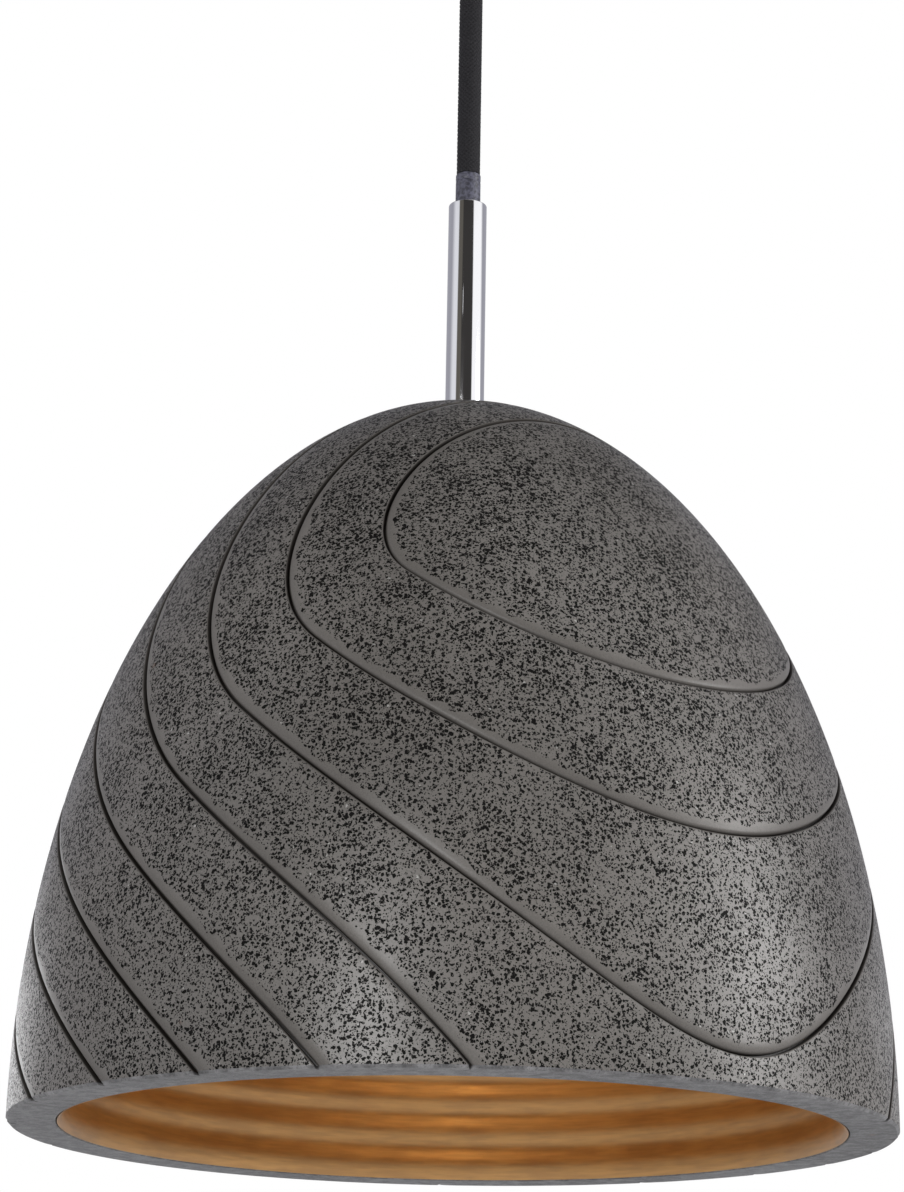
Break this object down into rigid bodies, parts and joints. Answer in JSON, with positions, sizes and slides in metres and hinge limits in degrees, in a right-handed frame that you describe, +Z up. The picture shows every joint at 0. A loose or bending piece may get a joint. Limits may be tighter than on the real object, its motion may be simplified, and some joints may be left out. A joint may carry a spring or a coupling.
{
  "type": "pendant ceiling light",
  "caption": "Dome pendant light: grooved dark concrete shade with a gold ribbed lining, chrome stem and black braided cord to a ceiling cup, with lampholder and bulb.",
  "frame": {"origin": "the middle of the mounting strap's top face, which lies on the ceiling", "axes": "+Z up out of the ceiling face, so the lamp hangs towards -Z; +X along the mounting strap; -Y is the front"},
  "size_m": [0.26, 0.26, 0.43],
  "materials": {
    "concrete": "polished dark terrazzo-like concrete with fine black and white specks",
    "gold_lining": "satin gold anodised, ribbed",
    "chrome_plate": "polished chrome plate",
    "zinc_steel": "zinc-plated steel",
    "brass_parts": "turned and stamped brass",
    "collar_plastic": "dark grey moulded plastic",
    "black_plastic": "black moulded plastic",
    "white_plastic": "white moulded plastic",
    "insert_ceramic": "unglazed ceramic",
    "rubber_washer": "black rubber",
    "textile_braid": "black textile braid over the cord",
    "sheath_plastic": "black cable sheath",
    "live_wire": "brown wire insulation",
    "neutral_wire": "blue wire insulation",
    "earth_wire": "green and yellow wire insulation",
    "bulb_metal": "thin pressed metal",
    "bulb_glass": "clear, faintly warm glass",
    "led_filament": "yellow phosphor coating"
  },
  "bodies": {
    "ceiling": {"mounting_strap": "zinc_steel", "canopy_cup": "chrome_plate", "canopy_screw_left": "chrome_plate", "canopy_screw_right": "chrome_plate", "cord_gland": "black_plastic", "gland_nut": "black_plastic", "gland_clamp_screw": "zinc_steel", "terminal_block": "white_plastic", "terminal_live": "brass_parts", "terminal_neutral": "brass_parts", "terminal_screw_1": "zinc_steel", "terminal_screw_2": "zinc_steel", "terminal_screw_3": "zinc_steel", "terminal_screw_4": "zinc_steel", "block_screw": "zinc_steel", "earth_lug": "brass_parts", "earth_screw": "brass_parts", "cord_tail": "textile_braid", "core_live": "live_wire", "core_neutral": "neutral_wire", "core_earth": "earth_wire"},
    "cord_bend": {"cord_top": "textile_braid"},
    "cord_hang": {"cord": "textile_braid"},
    "pendant": {"cord_collar": "collar_plastic", "stem_tube": "chrome_plate", "inner_sheath": "sheath_plastic", "threaded_nipple": "brass_parts", "shade_shell": "concrete", "reflector_lining": "gold_lining", "cushion_washer": "rubber_washer", "spreader_washer": "zinc_steel", "lock_nut": "zinc_steel", "holder_cap": "black_plastic", "holder_earth_tag": "brass_parts", "holder_nut": "brass_parts", "holder_body": "black_plastic", "holder_insert": "insert_ceramic", "holder_thread_shell": "brass_parts", "holder_centre_contact": "brass_parts", "holder_screw_live": "zinc_steel", "holder_screw_neutral": "zinc_steel", "core_live_lower": "live_wire", "core_neutral_lower": "neutral_wire", "core_earth_lower": "earth_wire"},
    "bulb_tip": {"bulb_contact": "bulb_metal"},
    "bulb": {"bulb_glass": "bulb_glass", "bulb_cap": "bulb_metal", "bulb_insulator": "black_plastic", "bulb_stem": "bulb_glass", "bulb_filament_1": "led_filament", "bulb_filament_2": "led_filament", "bulb_filament_3": "led_filament", "bulb_filament_4": "led_filament"}
  },
  "joints": [
    {"name": "swing_front", "type": "hinge", "parent": "ceiling", "child": "cord_bend", "pos_m": [0, 0, -0.0503], "axis": [1, 0, 0], "range_deg": [-30, 30], "deforming": ["cord_top"]},
    {"name": "swing_side", "type": "hinge", "parent": "cord_bend", "child": "cord_hang", "pos_m": [0, 0, -0.0503], "axis": [0, 1, 0], "range_deg": [-30, 30], "deforming": ["cord"]},
    {"name": "turn", "type": "hinge", "parent": "cord_hang", "child": "pendant", "pos_m": [0, 0, -0.0503], "axis": [0, 0, 1], "range_deg": [-180, 180], "stiffness_Nm_per_rad": 0.01},
    {"name": "bulb_travel", "type": "slide", "parent": "pendant", "child": "bulb_tip", "axis": [0, 0, -1], "range_m": [0, 0.0218]},
    {"name": "bulb_turn", "type": "hinge", "parent": "bulb_tip", "child": "bulb", "pos_m": [0, 0, -0.3], "axis": [0, 0, -1], "range_deg": [0, 2160]}
  ],
  "couplings": [
    {"joint": "bulb_travel", "follows": "bulb_turn", "m_per_rad": 0.00057758}
  ]
}
